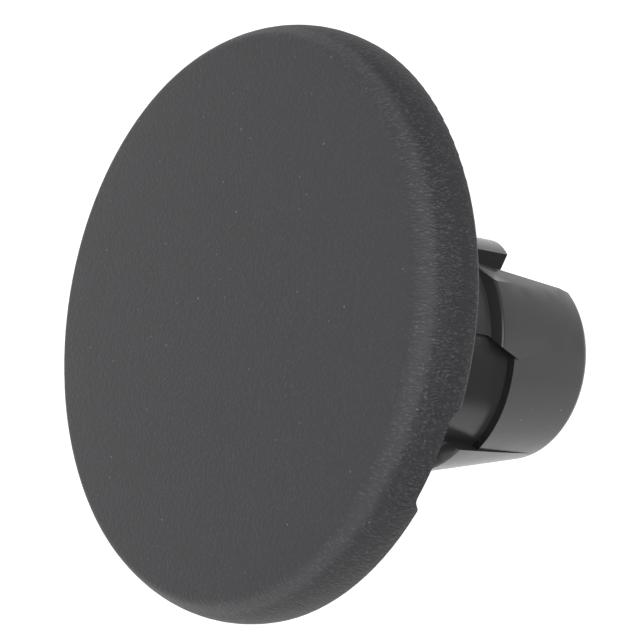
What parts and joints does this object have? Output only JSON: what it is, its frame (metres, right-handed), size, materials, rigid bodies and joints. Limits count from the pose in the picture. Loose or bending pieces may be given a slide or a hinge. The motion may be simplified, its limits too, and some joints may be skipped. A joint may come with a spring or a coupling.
{
  "type": "hole plug",
  "caption": "Round plug that closes a hole in a panel: a grained, slightly domed cap with a pry notch in its rim, on a hollow stem made of a half sleeve and a stepped spring leg that snaps in.",
  "frame": {"origin": "on the stem's axis, in the plane of the cap's rear rim that seats on the panel", "axes": "+Y along the stem from the cap to its tip, so the face looks along -Y; +X towards the spring leg and the pry notch; +Z completes the set"},
  "size_m": [0.05, 0.0345, 0.05],
  "materials": {
    "hole_plug": "dark grey moulded plastic, fine grain on the cap, smooth stem"
  },
  "bodies": {
    "root": {"hole_plug": "hole_plug"}
  },
  "joints": []
}
